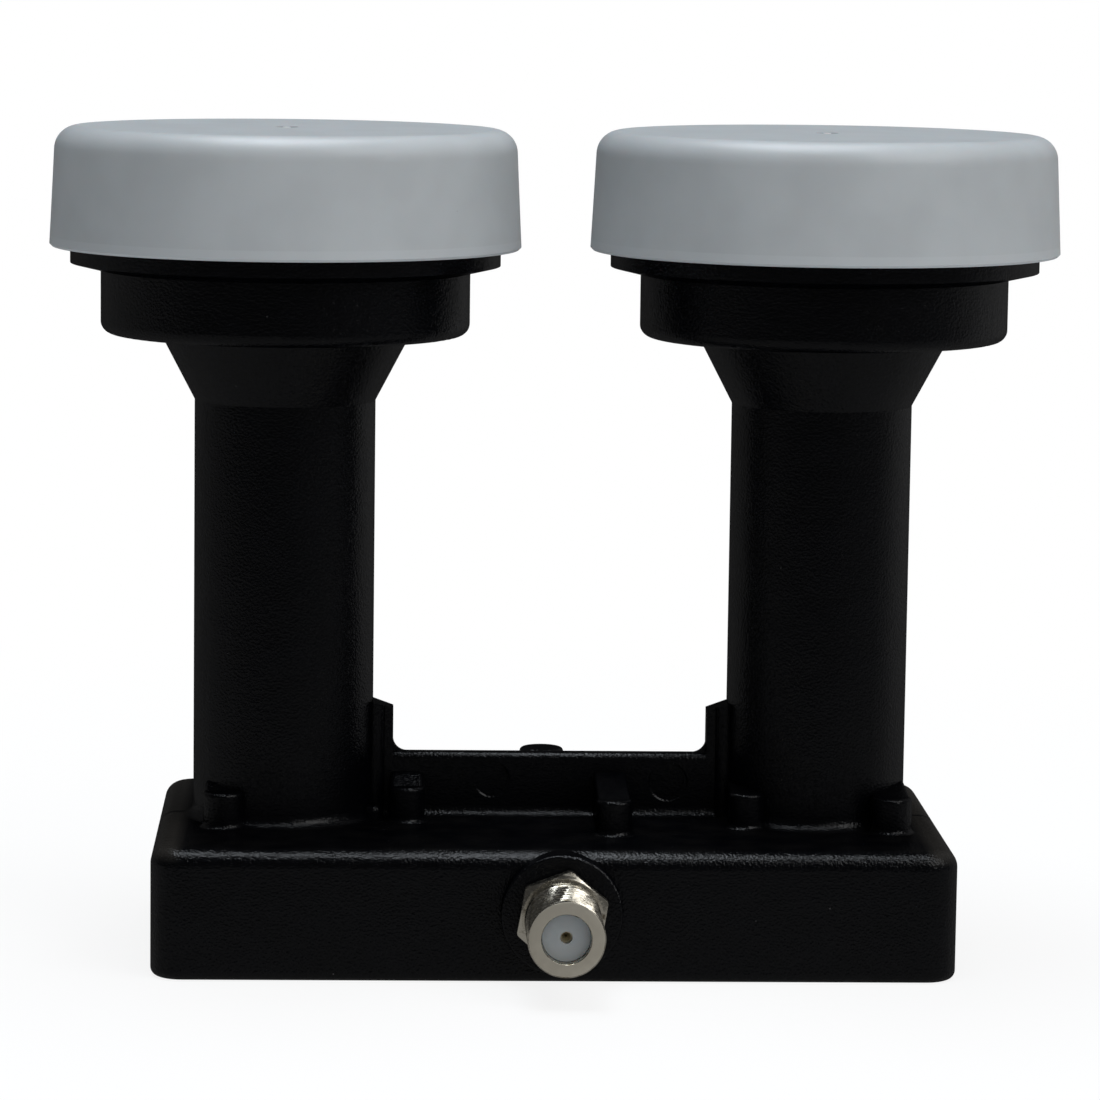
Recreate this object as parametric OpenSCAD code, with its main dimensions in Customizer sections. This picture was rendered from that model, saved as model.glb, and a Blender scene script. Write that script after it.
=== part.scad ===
// Satellite feed head with two horns on one cast chassis, millimetres.
// The origin is on the underside of the base, midway between the two horn axes.
// Horns point up (+Z), the coax connector points to the front (-Y).

/* [Base box] */
// Distance from each horn's axis to the near end of the cast box
base_end = 16; // [14.8:0.05:19]
// Depth of the cast box, front to back
base_d = 52; // [51:0.5:58]
// Height of the box's top ledge above its underside
base_h = 16.5; // [16:0.5:19]
// Thickness of the side walls
wall_t = 2.5; // [2.2:0.1:3]
// Thickness of the top ledge
ledge_t = 2.5; // [2:0.1:3]
// Radius of the upright corners of the box
corner_r = 4; // [3.2:0.2:5]
// Rounding of the box's top edge
top_edge_r = 2.3; // [1.5:0.1:2.8]
// Rounding of the box's lower edge
foot_edge_r = 1.1; // [0.5:0.1:1.2]
// Thickness of the thin outer lip that surrounds the base cover
lip_wall_t = 1.3; // [1.2:0.1:1.5]
// Width of the inner step that the circuit board rests against
land_w = 1.2; // [1:0.1:1.6]

/* [Horns] */
// Distance between the two horn axes
feed_pitch = 68.5; // [66:0.5:74]
// Diameter of the necks, where the holder clamps
neck_d = 23; // [22:0.5:24]
// Diameter of the round waveguide through each neck
guide_d = 18; // [17:0.1:18.6]
// Height of the necks from the ledge to the foot of the cone
neck_h = 53.4; // [40:0.5:70]
// Height of the cone under the collar
cone_h = 8.4; // [6:0.2:11]
// Largest diameter of the cone
cone_d = 31.8; // [29:0.2:36]
// Diameter of the collar under the cap
collar_d = 46.8; // [42:0.2:50]
// Height of the collar
collar_h = 8; // [5:0.2:10]
// Rounding of the collar's lower edge
collar_edge_r = 1.5; // [0.5:0.1:2.5]
// Height of the sloped underside of the lip above the collar
lip_slope_h = 0.9; // [0.5:0.1:1.6]
// Height of the bare stretch between the lip and the cap
lip_gap = 2.1; // [1.4:0.1:3]
// Diameter of the horn's mouth
mouth_d = 30; // [28:0.2:31]
// Depth of the two ring grooves round the mouth
choke_depth = 6.5; // [3:0.5:8]
// Width of each ring groove
choke_w = 2.8; // [2:0.1:3]
// Rounding where the necks meet the ledge
neck_fillet_r = 1.5; // [0.8:0.1:1.8]

/* [Feed caps] */
// Diameter of the cap at its lower rim
cap_d = 59.7; // [58:0.1:64]
// Narrowing of the cap's side from the foot to the top rounding
cap_taper = 0.6; // [0.2:0.1:1.2]
// Height of the cap
cap_h = 15.1; // [13:0.1:18]
// Rounding of the cap's top edge
cap_edge_r = 3; // [1.5:0.1:3.5]
// Wall thickness of the cap at its rim
cap_wall = 2; // [1.7:0.1:2.2]
// Thickness of the cap's top
cap_top_t = 1.6; // [1.2:0.1:2]
// Diameter of the round moulding mark on the cap's top
gate_d = 3; // [2:0.1:5]

/* [Web and posts] */
// Thickness of the web between the necks
web_t = 3; // [2.4:0.1:4]
// Height of the web above the ledge
web_h = 8.1; // [7:0.1:10]
// Rounding of the web's top edges
web_edge_r = 0.9; // [0.4:0.1:1]
// Rounding at the foot of the web
web_fillet_r = 1.3; // [0.8:0.1:1.6]
// Height of the posts at the web's ends above the ledge
post_h = 14.8; // [12:0.1:17]
// Width of each post beyond the neck
post_w = 2.6; // [2:0.1:3.2]
// Slope of the posts' tops
post_slope = 20; // [5:1:30]
// Radius of the rounded corner between post and web
post_corner_r = 1.8; // [1:0.1:2.4]
// Diameter of the round ejector marks on the web
ejector_d = 4.4; // [3:0.1:4.6]
// Depth of the ejector marks
ejector_depth = 0.25; // [0.1:0.05:0.4]
// Distance of the left ejector mark from the middle
ejector_left_x = 7.6; // [5:0.1:12]
// Distance of the right ejector mark from the middle
ejector_right_x = 15.1; // [10:0.1:16]
// Height of the ejector marks above the ledge
ejector_z = 4.9; // [3:0.1:5]

/* [Screw bosses] */
// Height of the bosses above the ledge
boss_h = 4.5; // [4:0.1:6]
// Diameter of the wide bosses beside the necks
boss_wide_d = 5.2; // [4.6:0.1:5.4]
// Diameter of the narrow bosses
boss_narrow_d = 4.6; // [4.2:0.1:4.8]
// Rounding of the bosses' top edges
boss_edge_r = 0.5; // [0.2:0.1:0.7]
// Extra height of the rear boss, which shows above the web
rear_boss_rise = 0.8; // [0:0.1:1.4]
// Distance of the rear boss from the back of the box
rear_boss_inset = 6.4; // [6.2:0.1:9]
// Distance of the front middle boss from the front of the box
front_boss_inset = 12; // [11:0.1:14]

/* [Coax connector] */
// Distance of the connector's axis from the box's middle
conn_x = 0.7; // [-2:0.1:2]
// Height of the connector's axis above the underside
conn_z = 8.9; // [8.6:0.1:9.4]
// Outer diameter of the 3/8 inch thread
thread_d = 9.52; // [9.4:0.02:9.6]
// Length of the threaded barrel in front of the hexagon
barrel_l = 11.8; // [8:0.1:13]
// Width of the hexagon across its flats
hex_af = 10.4; // [10.2:0.1:11.2]
// Thickness of the hexagon
hex_t = 1.8; // [1.6:0.1:3.5]
// Turn of the hexagon about its axis
hex_turn = 20; // [0:1:59]
// Diameter of the round boss behind the hexagon
conn_boss_d = 15.1; // [13:0.1:15.1]
// Height of that boss in front of the box
conn_boss_l = 2; // [1:0.1:2.5]
// Diameter of the thread in the casting
tail_d = 8; // [7.6:0.1:8.4]
// Diameter of the plastic insulator
insulator_d = 5.9; // [5.4:0.1:6.2]
// Depth of the insulator's face behind the barrel's front
insulator_recess = 1.2; // [0.6:0.1:2]
// Diameter of the hole for the cable's inner conductor
contact_hole_d = 1.1; // [0.9:0.05:1.2]
// Diameter of the solder pin
pin_d = 0.9; // [0.7:0.05:1]

/* [Inside] */
// Thickness of the base cover
cover_t = 2; // [1.8:0.1:2.2]
// Thickness of the cover's gasket
gasket_t = 0.4; // [0.3:0.1:0.6]
// Thickness of the circuit board
board_t = 0.8; // [0.6:0.1:1]
// Thickness of the shield's plate and walls
shield_t = 1; // [0.8:0.1:1.2]
// Diameter of the screws of shield and cover
screw_d = 2.4; // [2.2:0.1:2.6]
// Diameter of the screw heads
screw_head_d = 4.2; // [4:0.1:4.4]
// Height of the screw heads
screw_head_h = 1.2; // [1:0.1:1.3]
// Diameter of the low-band resonator
low_puck_d = 6.2; // [5.6:0.1:6.8]
// Diameter of the high-band resonator
high_puck_d = 5.6; // [5:0.1:6.2]
// Diameter of the tuning screws
tuner_d = 4; // [3.5:0.1:4.5]

/* [Clearances] */
// Gap between the cap and the horn's rim, all round
cap_clear = 0.2; // [0.15:0.05:0.25]
// Gap round pieces that slide into one another
fit_clear = 0.05; // [0.04:0.01:0.1]
// Gap round the cover, the board and the shield
drop_clear = 0.2; // [0.1:0.05:0.25]

/* [Hidden] */
$fn = 72;
// Overlap where two bodies of one casting run into each other
sink = 0.5;
// How far a rounding dips under the face that it meets
dip = 0.03;

// Finishes
CAST_BLACK = [0.07, 0.07, 0.08];
CAP_GREY = [0.72, 0.73, 0.73];
NICKEL = [0.70, 0.68, 0.63];
INSULATOR_GREY = [0.74, 0.77, 0.78];
CONTACT_BRASS = [0.62, 0.53, 0.36];
SEAL_BLACK = [0.10, 0.10, 0.10];
COVER_METAL = [0.62, 0.63, 0.65];
SHIELD_METAL = [0.66, 0.66, 0.68];
SCREW_STEEL = [0.75, 0.75, 0.73];
BOARD_GREEN = [0.16, 0.38, 0.24];
CHIP_BLACK = [0.12, 0.12, 0.13];
CAPACITOR_TAN = [0.76, 0.56, 0.20];
FERRITE = [0.22, 0.22, 0.24];
PUCK_TAN = [0.80, 0.70, 0.55];

// Cast box
base_w = feed_pitch + 2 * base_end;

// Heights
neck_r = neck_d / 2;
guide_r = guide_d / 2;
cone_z = base_h + neck_h;
collar_z = cone_z + cone_h;
lip_z = collar_z + collar_h;
cap_z = lip_z + lip_slope_h + lip_gap;
cap_r = cap_d / 2;
cap_top_r = cap_r - cap_taper;
cap_inner_r = cap_r - cap_wall;
cap_ceiling_z = cap_z + cap_h - cap_top_t;
rim_r = cap_inner_r - cap_clear;
rim_step = 0.4;
lip_r = rim_r - rim_step;
rim_z = cap_z + 1.1;
rim_chamfer = 0.3;
rim_top_z = cap_ceiling_z - cap_clear;
feeds = [-feed_pitch / 2, feed_pitch / 2];

// Seal ring in the rim's groove
seal_depth = 1.3;
seal_section = seal_depth + cap_clear - 2 * fit_clear;
seal_groove_w = seal_section + 0.3;
seal_z = rim_z + 5;
groove_wall = 1.4;
flare_wall = 3.2;
bead_h = 0.25;
bead_z = 0.2;
gate_depth = 0.15;
gate_stub_r = 0.5;
cap_foot_edge = 0.3;

// Cover, gasket and board are stacked from the underside
shelf_z = cover_t + gasket_t;
board_top_z = conn_z - pin_d / 2 - fit_clear;
board_low_z = board_top_z - board_t;
cavity_w = base_w - 2 * wall_t;
cavity_d = base_d - 2 * wall_t;
cavity_r = corner_r - wall_t;
board_w = cavity_w - 2 * drop_clear;
board_d = cavity_d - 2 * drop_clear;
head_room = 0.3;
shield_low_z = cover_t + head_room + screw_head_h;
shield_wall_inset = 0.5;
shield_w = board_w - 2 * shield_wall_inset;
shield_d = board_d - 2 * shield_wall_inset;
cup_r = guide_r + shield_t + drop_clear;

// Corner posts for the cover's screws
post_wall = 1.5;
post_r = screw_d / 2 + post_wall;
corner_posts = [for (sx = [-1, 1], sy = [-1, 1])
    [sx * (cavity_w / 2 - post_r + sink), sy * (cavity_d / 2 - post_r + sink)]];

// Bosses: side of the horn that they stand beside, angle about its axis, distance
// beyond the neck's surface, diameter, length of the rib that ties them to the neck or web,
// rise of the rib over its length, or extra height of a boss without a rib
function beside(side, angle, out) =
    [side * feed_pitch / 2 + (neck_r + out) * cos(angle), (neck_r + out) * sin(angle)];
bosses = [
    [beside(-1, -126.5, 0.8), boss_wide_d, 3.2, 0.8],
    [beside(-1, -19, 5.3), boss_narrow_d, 4.6, 1.4],
    [beside(1, -138, 1.2), boss_narrow_d, 7.5, 0.5],
    [beside(1, -52, 2.8), boss_wide_d, 9, 0.9],
    [beside(-1, 128, 2.2), boss_wide_d, -4.4, 0],
    [beside(1, 52, 2.2), boss_wide_d, -4.4, 0],
    [[7.7, front_boss_inset - base_d / 2], boss_narrow_d, base_d / 2 - front_boss_inset - 1, 1.3],
    [[-0.3, base_d / 2 - rear_boss_inset], boss_wide_d + 0.6, 0, rear_boss_rise]
];
boss_foot_r = 0.7;
rib_inset = 0.2;
boss_cap_t = 1.6;
boss_hole_r = screw_d / 2 + fit_clear;
boss_hole_top_z = base_h + boss_h - boss_cap_t;
column_wall = 0.95;
column_r = screw_d / 2 + column_wall;
stub_r = 1.3;
stub_h = 1.8;
stub_edge_r = 0.8;

// Connector, measured along its axis from the box's front
front_y = -base_d / 2;
boss_front_y = front_y - conn_boss_l;
washer_t = 0.4;
boss_rim_r = 0.3;
conn_boss_run = top_edge_r + 0.3;
thread_lead = 0.2;
hex_back_y = boss_front_y - washer_t;
hex_front_y = hex_back_y - hex_t;
barrel_front_y = hex_front_y - barrel_l;
tail_end_y = front_y + wall_t - 0.1;
insulator_front_y = barrel_front_y + insulator_recess;
insulator_face_t = 0.6;
contact_front_y = insulator_front_y + insulator_face_t;
contact_wall = 0.3;
pin_end_y = front_y + wall_t + 5;
pin_l = 3;
hole_lead = 0.2;
hex_r = hex_af / 2 / cos(30);

// Places of the parts on the board, from its front and back edges and from the waveguides
board_front_y = -board_d / 2;
board_back_y = board_d / 2;
puck_x = 9;
puck_y = 4;
low_puck_at = [-puck_x, puck_y];
high_puck_at = [puck_x, puck_y];
puck_h = 1.6;
tuner_gap = 0.35;
amplifier_x = feed_pitch / 2 - cup_r - 4.05;
amplifier_rows = [puck_y - 1, puck_y + 5];
mixer_at = [0, puck_y];
output_amplifier_at = [-4, board_front_y + 15.3];
switch_controller_at = [-11, board_back_y - 8.3];
regulator_at = [-13, board_front_y + 8.3];
choke_at = [-6, board_front_y + 7.3];
capacitor_at = [14, board_front_y + 4.3];
capacitor_step = [4.5, 4];

// Sizes of the parts on the board
amplifier_size = [2, 1.8, 1];
mixer_size = [5, 5, 1];
output_amplifier_size = [4.5, 2.5, 1.4];
switch_controller_size = [5, 4, 1.4];
regulator_size = [6.5, 3.6, 1.5];
capacitor_size = [3.4, 2.2, 1.6];
choke_r = 2;
choke_h = 1.8;
choke_core_r = 1.3;
choke_flange_t = 0.5;
lead_w = 0.4;
lead_l = 0.7;
lead_t = 0.25;
tongue_w = 2.4;
tongue_l = 4.5;
tongue_root = 0.5;

// Screws
head_edge_r = 0.3;
cross_w = 0.5;
cross_depth = 0.6;
slot_w = 0.6;
slot_depth = 0.6;

// Outline helpers

// Square corner left over outside a quarter circle, to be cut off a square edge
module corner_cut(r) {
    difference() {
        square(r + 1);
        circle(r);
    }
}

// Half section of a slab with its outer top and lower edges rounded
module edge_section(r, h, top_r, low_r) {
    difference() {
        square([r, h]);
        translate([r - top_r, h - top_r]) corner_cut(top_r);
        translate([r - low_r, low_r]) mirror([0, 1]) corner_cut(low_r);
    }
}

// Block with round upright corners and rounded top and lower edges
module rounded_block(w, d, h, r, top_r, low_r) {
    translate([r - w / 2, r - d / 2, 0]) cube([w - 2 * r, d - 2 * r, h]);
    for (mx = [0, 1], my = [0, 1])
        mirror([mx, 0, 0]) mirror([0, my, 0])
            translate([w / 2 - r, d / 2 - r, 0])
                rotate_extrude(angle = 90) edge_section(r, h, top_r, low_r);
    for (m = [0, 1]) {
        mirror([m, 0, 0]) translate([w / 2 - r, d / 2 - r, 0])
            rotate([90, 0, 0]) linear_extrude(d - 2 * r) edge_section(r, h, top_r, low_r);
        mirror([0, m, 0]) translate([r - w / 2, d / 2 - r, 0])
            rotate([90, 0, 90]) linear_extrude(w - 2 * r) edge_section(r, h, top_r, low_r);
    }
}

module rounded_rect(w, d, r) {
    square([w - 2 * r, d], center = true);
    square([w, d - 2 * r], center = true);
    for (sx = [-1, 1], sy = [-1, 1])
        translate([sx * (w / 2 - r), sy * (d / 2 - r)]) circle(r);
}

// Hollow corner between an upright wall at x = 0 and a floor at y = 0
module hollow_corner(r) {
    difference() {
        translate([-sink, -sink]) square([r + sink, r - dip + sink]);
        translate([r, r - dip]) circle(r);
    }
}

module at_screws() {
    for (b = bosses) translate([b[0][0], b[0][1], 0]) children();
}

module at_corner_posts() {
    for (p = corner_posts) translate([p[0], p[1], 0]) children();
}

module along_connector(y) {
    translate([conn_x, y, conn_z]) rotate([-90, 0, 0]) children();
}

// Cast housing

// Outer section of one horn, from the board up to the rim inside the cap
module horn_outline() {
    translate([0, board_top_z]) square([neck_r, cone_z - board_top_z]);
    translate([neck_r, base_h]) hollow_corner(neck_fillet_r);
    polygon([[0, cone_z], [neck_r, cone_z], [cone_d / 2, collar_z], [0, collar_z]]);
    difference() {
        translate([0, collar_z]) square([collar_d / 2, collar_h]);
        translate([collar_d / 2 - collar_edge_r, collar_z + collar_edge_r])
            mirror([0, 1]) corner_cut(collar_edge_r);
    }
    polygon([[0, lip_z], [collar_d / 2, lip_z], [lip_r, lip_z + lip_slope_h], [lip_r, rim_z],
        [rim_r, rim_z + rim_chamfer], [rim_r, rim_top_z], [0, rim_top_z]]);
}

// What is open in one horn: waveguide, flare, ring grooves and the seal's groove
module horn_hollow() {
    translate([0, board_top_z - 1]) square([guide_r, cone_z - board_top_z + 1]);
    polygon([[0, cone_z], [guide_r, cone_z], [cone_d / 2 - flare_wall, collar_z],
        [mouth_d / 2, rim_top_z], [mouth_d / 2, rim_top_z + 1], [0, rim_top_z + 1]]);
    for (i = [0, 1])
        translate([mouth_d / 2 + groove_wall + i * (choke_w + groove_wall), rim_top_z - choke_depth])
            square([choke_w, choke_depth + 1]);
    translate([rim_r - seal_depth, seal_z - seal_groove_w / 2])
        square([seal_depth + 1, seal_groove_w]);
}

// Web between the necks: a thin wall with rounded top edges and hollow feet
module web() {
    reach = feed_pitch / 2 - neck_r + 1;
    translate([-reach, 0, base_h]) rotate([90, 0, 90]) linear_extrude(2 * reach) {
        difference() {
            translate([-web_t / 2, -sink]) square([web_t, web_h + sink]);
            for (m = [0, 1])
                mirror([m, 0]) translate([web_t / 2 - web_edge_r, web_h - web_edge_r])
                    corner_cut(web_edge_r);
        }
        for (m = [0, 1])
            mirror([m, 0]) translate([web_t / 2, 0]) hollow_corner(web_fillet_r);
    }
}

// Upright post where the web meets a neck, with a sloped top and a bead on its front
module post() {
    inner_x = feed_pitch / 2 - neck_r - post_w;
    bead_r = 1.2;
    difference() {
        union() {
            translate([inner_x, -web_t / 2, base_h - sink]) cube([post_w + 1, web_t, post_h + sink]);
            translate([inner_x + post_w - 0.3, -web_t / 2, base_h - sink])
                cylinder(r = bead_r, h = post_h + sink);
        }
        translate([inner_x + post_w, -web_t, base_h + post_h])
            rotate([0, -post_slope, 0]) translate([-3 * post_w, -web_t, 0])
                cube([6 * post_w, 4 * web_t, post_h]);
    }
    translate([inner_x + sink, web_t / 2 - web_edge_r, base_h + web_h])
        rotate([90, 0, 0]) linear_extrude(web_t - 2 * web_edge_r)
            difference() {
                translate([-post_corner_r - sink, -sink]) square([post_corner_r + sink, post_corner_r + sink]);
                translate([-post_corner_r - sink, post_corner_r]) circle(post_corner_r);
            }
}

// Blind screw boss on the ledge, tied back to the neck or the web by a rib
module boss(d, rib, rise) {
    r = d / 2;
    w = r - rib_inset;
    h = rib == 0 ? boss_h + rise : boss_h;
    translate([0, 0, base_h]) {
        rotate_extrude() {
            difference() {
                translate([0, -sink]) square([r, h + sink]);
                translate([r - boss_edge_r, h - boss_edge_r]) corner_cut(boss_edge_r);
            }
            translate([r, 0]) hollow_corner(boss_foot_r);
        }
        if (rib != 0)
            difference() {
                translate([-w, 0, 0]) rotate([90, 0, 90]) linear_extrude(2 * w)
                    polygon([[0, -sink], [rib, -sink], [rib, boss_h + rise], [0, boss_h]]);
                for (m = [0, 1])
                    mirror([m, 0, 0]) translate([0, 0, boss_h]) rotate([atan(rise / rib), 0, 0])
                        translate([w - boss_edge_r, rib > 0 ? rib + 1 : 1, -boss_edge_r])
                            rotate([90, 0, 0]) linear_extrude(abs(rib) + 2) corner_cut(boss_edge_r);
            }
    }
    translate([0, 0, board_top_z]) cylinder(r = r, h = base_h - board_top_z - ledge_t + sink);
}

// Small ejector stub beside the left neck
module stub() {
    at = beside(-1, -20, 0.8);
    translate([at[0], at[1], base_h - sink]) rotate_extrude()
        difference() {
            square([stub_r, stub_h + sink]);
            translate([stub_r - stub_edge_r, stub_h - stub_edge_r + sink]) corner_cut(stub_edge_r);
        }
}

// Round boss that the connector is screwed into
module connector_boss() {
    along_connector(boss_front_y) rotate_extrude()
        difference() {
            square([conn_boss_d / 2, conn_boss_l + conn_boss_run]);
            translate([conn_boss_d / 2 - boss_rim_r, boss_rim_r]) mirror([0, 1]) corner_cut(boss_rim_r);
        }
}

module housing() {
    color(CAST_BLACK)
    difference() {
        union() {
            difference() {
                union() {
                    rounded_block(base_w, base_d, base_h, corner_r, top_edge_r, foot_edge_r);
                    connector_boss();
                }
                translate([0, 0, -1]) linear_extrude(shelf_z + 1)
                    rounded_rect(base_w - 2 * lip_wall_t, base_d - 2 * lip_wall_t, corner_r - lip_wall_t);
                linear_extrude(board_top_z) rounded_rect(cavity_w, cavity_d, cavity_r);
                linear_extrude(base_h - ledge_t)
                    rounded_rect(cavity_w - 2 * land_w, cavity_d - 2 * land_w, cavity_r);
            }
            for (x = feeds) translate([x, 0, 0]) rotate_extrude() horn_outline();
            web();
            for (m = [0, 1]) mirror([m, 0, 0]) post();
            for (b = bosses) translate([b[0][0], b[0][1], 0]) boss(b[1], b[2], b[3]);
            stub();
            translate([0, 0, shelf_z]) linear_extrude(base_h - shelf_z - 1) intersection() {
                at_corner_posts() circle(post_r);
                square([cavity_w + 1, cavity_d + 1], center = true);
            }
        }
        for (x = feeds) translate([x, 0, 0]) rotate_extrude() horn_hollow();
        at_screws() cylinder(r = boss_hole_r, h = boss_hole_top_z);
        at_corner_posts() cylinder(r = boss_hole_r, h = base_h - ledge_t);
        along_connector(boss_front_y - 1)
            cylinder(d = tail_d + 2 * fit_clear, h = conn_boss_l + wall_t + land_w + 2);
        for (x = [-ejector_left_x, ejector_right_x])
            translate([x, ejector_depth - web_t / 2, base_h + ejector_z]) rotate([90, 0, 0])
                cylinder(d = ejector_d, h = 1);
    }
}

// Feed caps and their seals

module cap_outline() {
    shoulder_r = cap_top_r - cap_edge_r;
    polygon([[0, 0], [cap_r - cap_foot_edge, 0], [cap_r, cap_foot_edge], [cap_top_r, cap_h - cap_edge_r],
        [0, cap_h - cap_edge_r]]);
    square([shoulder_r, cap_h]);
    translate([shoulder_r, cap_h - cap_edge_r]) intersection() {
        circle(cap_edge_r);
        square(cap_edge_r);
    }
}

// Small ring inside the rim that snaps under the edge of the horn
module snap_bead() {
    polygon([[cap_inner_r + 1, bead_z], [cap_inner_r, bead_z], [cap_inner_r - bead_h, bead_z + bead_h],
        [cap_inner_r - bead_h, bead_z + 2 * bead_h], [cap_inner_r, bead_z + 3 * bead_h],
        [cap_inner_r + 1, bead_z + 3 * bead_h]]);
}

module feed_cap(side) {
    color(CAP_GREY)
    translate([side * feed_pitch / 2, 0, cap_z]) rotate_extrude() {
        difference() {
            cap_outline();
            difference() {
                translate([0, -1]) square([cap_inner_r, cap_h - cap_top_t + 1]);
                snap_bead();
            }
            difference() {
                translate([0, cap_h - gate_depth]) square([gate_d / 2, 1]);
                square([gate_stub_r, cap_h]);
            }
        }
    }
}

module feed_cap_left() { feed_cap(-1); }

module feed_cap_right() { feed_cap(1); }

module cap_seal(side) {
    color(SEAL_BLACK)
    translate([side * feed_pitch / 2, 0, seal_z]) rotate_extrude()
        translate([rim_r - seal_depth + fit_clear + seal_section / 2, 0]) circle(d = seal_section);
}

module cap_seal_left() { cap_seal(-1); }

module cap_seal_right() { cap_seal(1); }

// Coax connector

module connector_shell() {
    bore_r = insulator_d / 2 + fit_clear;
    color(NICKEL) difference() {
        union() {
            along_connector(barrel_front_y) rotate_extrude()
                polygon([[0, 0], [thread_d / 2 - thread_lead, 0], [thread_d / 2, thread_lead],
                    [thread_d / 2, barrel_l + sink], [0, barrel_l + sink]]);
            intersection() {
                along_connector(hex_front_y) rotate([0, 0, -hex_turn])
                    cylinder(r = hex_r, h = hex_t, $fn = 6);
                along_connector(hex_front_y) rotate_extrude()
                    polygon([[0, 0], [hex_af / 2 - 0.15, 0], [hex_r + 0.1, 0.6], [hex_r + 0.1, hex_t], [0, hex_t]]);
            }
            along_connector(hex_back_y - sink) cylinder(d = tail_d, h = tail_end_y - hex_back_y + sink);
        }
        along_connector(barrel_front_y - 1) cylinder(r = bore_r, h = tail_end_y - barrel_front_y + 2);
    }
}

module connector_insulator() {
    length = tail_end_y - insulator_front_y;
    color(INSULATOR_GREY)
    along_connector(insulator_front_y) rotate_extrude() difference() {
        square([insulator_d / 2, length]);
        translate([0, -1]) square([contact_hole_d / 2 + hole_lead, insulator_face_t + 1]);
        translate([0, insulator_face_t]) square([contact_hole_d / 2 + contact_wall + fit_clear, length]);
    }
}

// Spring socket for the cable's inner conductor, with the solder pin at its back
module connector_contact() {
    socket_l = tail_end_y - contact_front_y - pin_l;
    color(CONTACT_BRASS)
    along_connector(contact_front_y) rotate_extrude() difference() {
        union() {
            square([contact_hole_d / 2 + contact_wall, socket_l + pin_l]);
            square([pin_d / 2, pin_end_y - contact_front_y]);
        }
        translate([0, -1]) square([contact_hole_d / 2, socket_l + 1]);
    }
}

// Sealing washer between the hexagon and the casting
module connector_seal() {
    color(SEAL_BLACK)
    along_connector(hex_back_y) rotate_extrude()
        translate([tail_d / 2 + fit_clear, 0]) square([hex_af / 2 - 0.2 - tail_d / 2 - fit_clear, washer_t]);
}

// Base cover and what holds it

module base_cover() {
    w = base_w - 2 * lip_wall_t - 2 * drop_clear;
    d = base_d - 2 * lip_wall_t - 2 * drop_clear;
    color(COVER_METAL) difference() {
        linear_extrude(cover_t) rounded_rect(w, d, corner_r - lip_wall_t - drop_clear);
        at_corner_posts() {
            translate([0, 0, -1]) cylinder(r = boss_hole_r, h = cover_t + 2);
            translate([0, 0, -1]) cylinder(r = screw_head_d / 2 + drop_clear, h = screw_head_h + 1.1);
        }
    }
}

module cover_gasket() {
    w = base_w - 2 * lip_wall_t - 2 * drop_clear;
    d = base_d - 2 * lip_wall_t - 2 * drop_clear;
    color(SEAL_BLACK) translate([0, 0, cover_t]) linear_extrude(gasket_t) difference() {
        union() {
            difference() {
                rounded_rect(w, d, corner_r - lip_wall_t - drop_clear);
                rounded_rect(cavity_w, cavity_d, cavity_r);
            }
            intersection() {
                at_corner_posts() circle(post_r);
                rounded_rect(w, d, corner_r - lip_wall_t - drop_clear);
            }
        }
        at_corner_posts() circle(boss_hole_r);
    }
}

// Screw with a low round head and a cross recess, head down, its seat at height 0
module screw(shaft_l) {
    difference() {
        union() {
            translate([0, 0, -screw_head_h]) rotate_extrude() difference() {
                square([screw_head_d / 2, screw_head_h]);
                translate([screw_head_d / 2 - head_edge_r, head_edge_r])
                    mirror([0, 1]) corner_cut(head_edge_r);
            }
            cylinder(d = screw_d, h = shaft_l);
        }
        for (turn = [0, 90])
            rotate([0, 0, turn]) translate([-screw_head_d / 4, -cross_w / 2, -screw_head_h - 1])
                cube([screw_head_d / 2, cross_w, cross_depth + 1]);
    }
}

module cover_screws() {
    seat_z = screw_head_h + 0.1;
    color(SCREW_STEEL) at_corner_posts() translate([0, 0, seat_z]) screw(base_h - ledge_t - seat_z - 2);
}

// Shield that presses the board against the casting, with a blind cup under each waveguide

module rf_shield() {
    wall_h = board_low_z - shield_low_z;
    color(SHIELD_METAL) difference() {
        translate([0, 0, shield_low_z]) {
            linear_extrude(shield_t) rounded_rect(shield_w, shield_d, cavity_r);
            linear_extrude(wall_h) difference() {
                rounded_rect(shield_w, shield_d, cavity_r);
                rounded_rect(shield_w - 2 * shield_t, shield_d - 2 * shield_t, cavity_r / 2);
            }
            for (x = feeds) translate([x, 0, 0]) linear_extrude(wall_h) difference() {
                circle(cup_r);
                circle(guide_r);
            }
            at_screws() cylinder(r = column_r, h = wall_h);
        }
        for (x = feeds) translate([x, 0, shield_low_z + shield_t]) cylinder(r = guide_r, h = board_t + wall_h);
        at_screws() translate([0, 0, shield_low_z - 1]) cylinder(r = boss_hole_r, h = wall_h + 2);
        at_corner_posts() cylinder(r = post_r + drop_clear, h = base_h);
        for (at = [low_puck_at, high_puck_at])
            translate([at[0], at[1], 0]) cylinder(d = tuner_d + 2 * fit_clear, h = base_h);
    }
}

module shield_screws() {
    color(SCREW_STEEL) at_screws() translate([0, 0, shield_low_z])
        screw(boss_hole_top_z - shield_low_z - 0.5);
}

module tuning_screw(at) {
    tip_z = board_low_z - puck_h - tuner_gap;
    color(SCREW_STEEL) translate([at[0], at[1], cover_t + head_room]) difference() {
        cylinder(d = tuner_d, h = tip_z - cover_t - head_room);
        translate([-tuner_d, -slot_w / 2, -1]) cube([2 * tuner_d, slot_w, slot_depth + 1]);
    }
}

module tuning_screw_low_band() { tuning_screw(low_puck_at); }

module tuning_screw_high_band() { tuning_screw(high_puck_at); }

// Circuit board and what it carries on its underside

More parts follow.
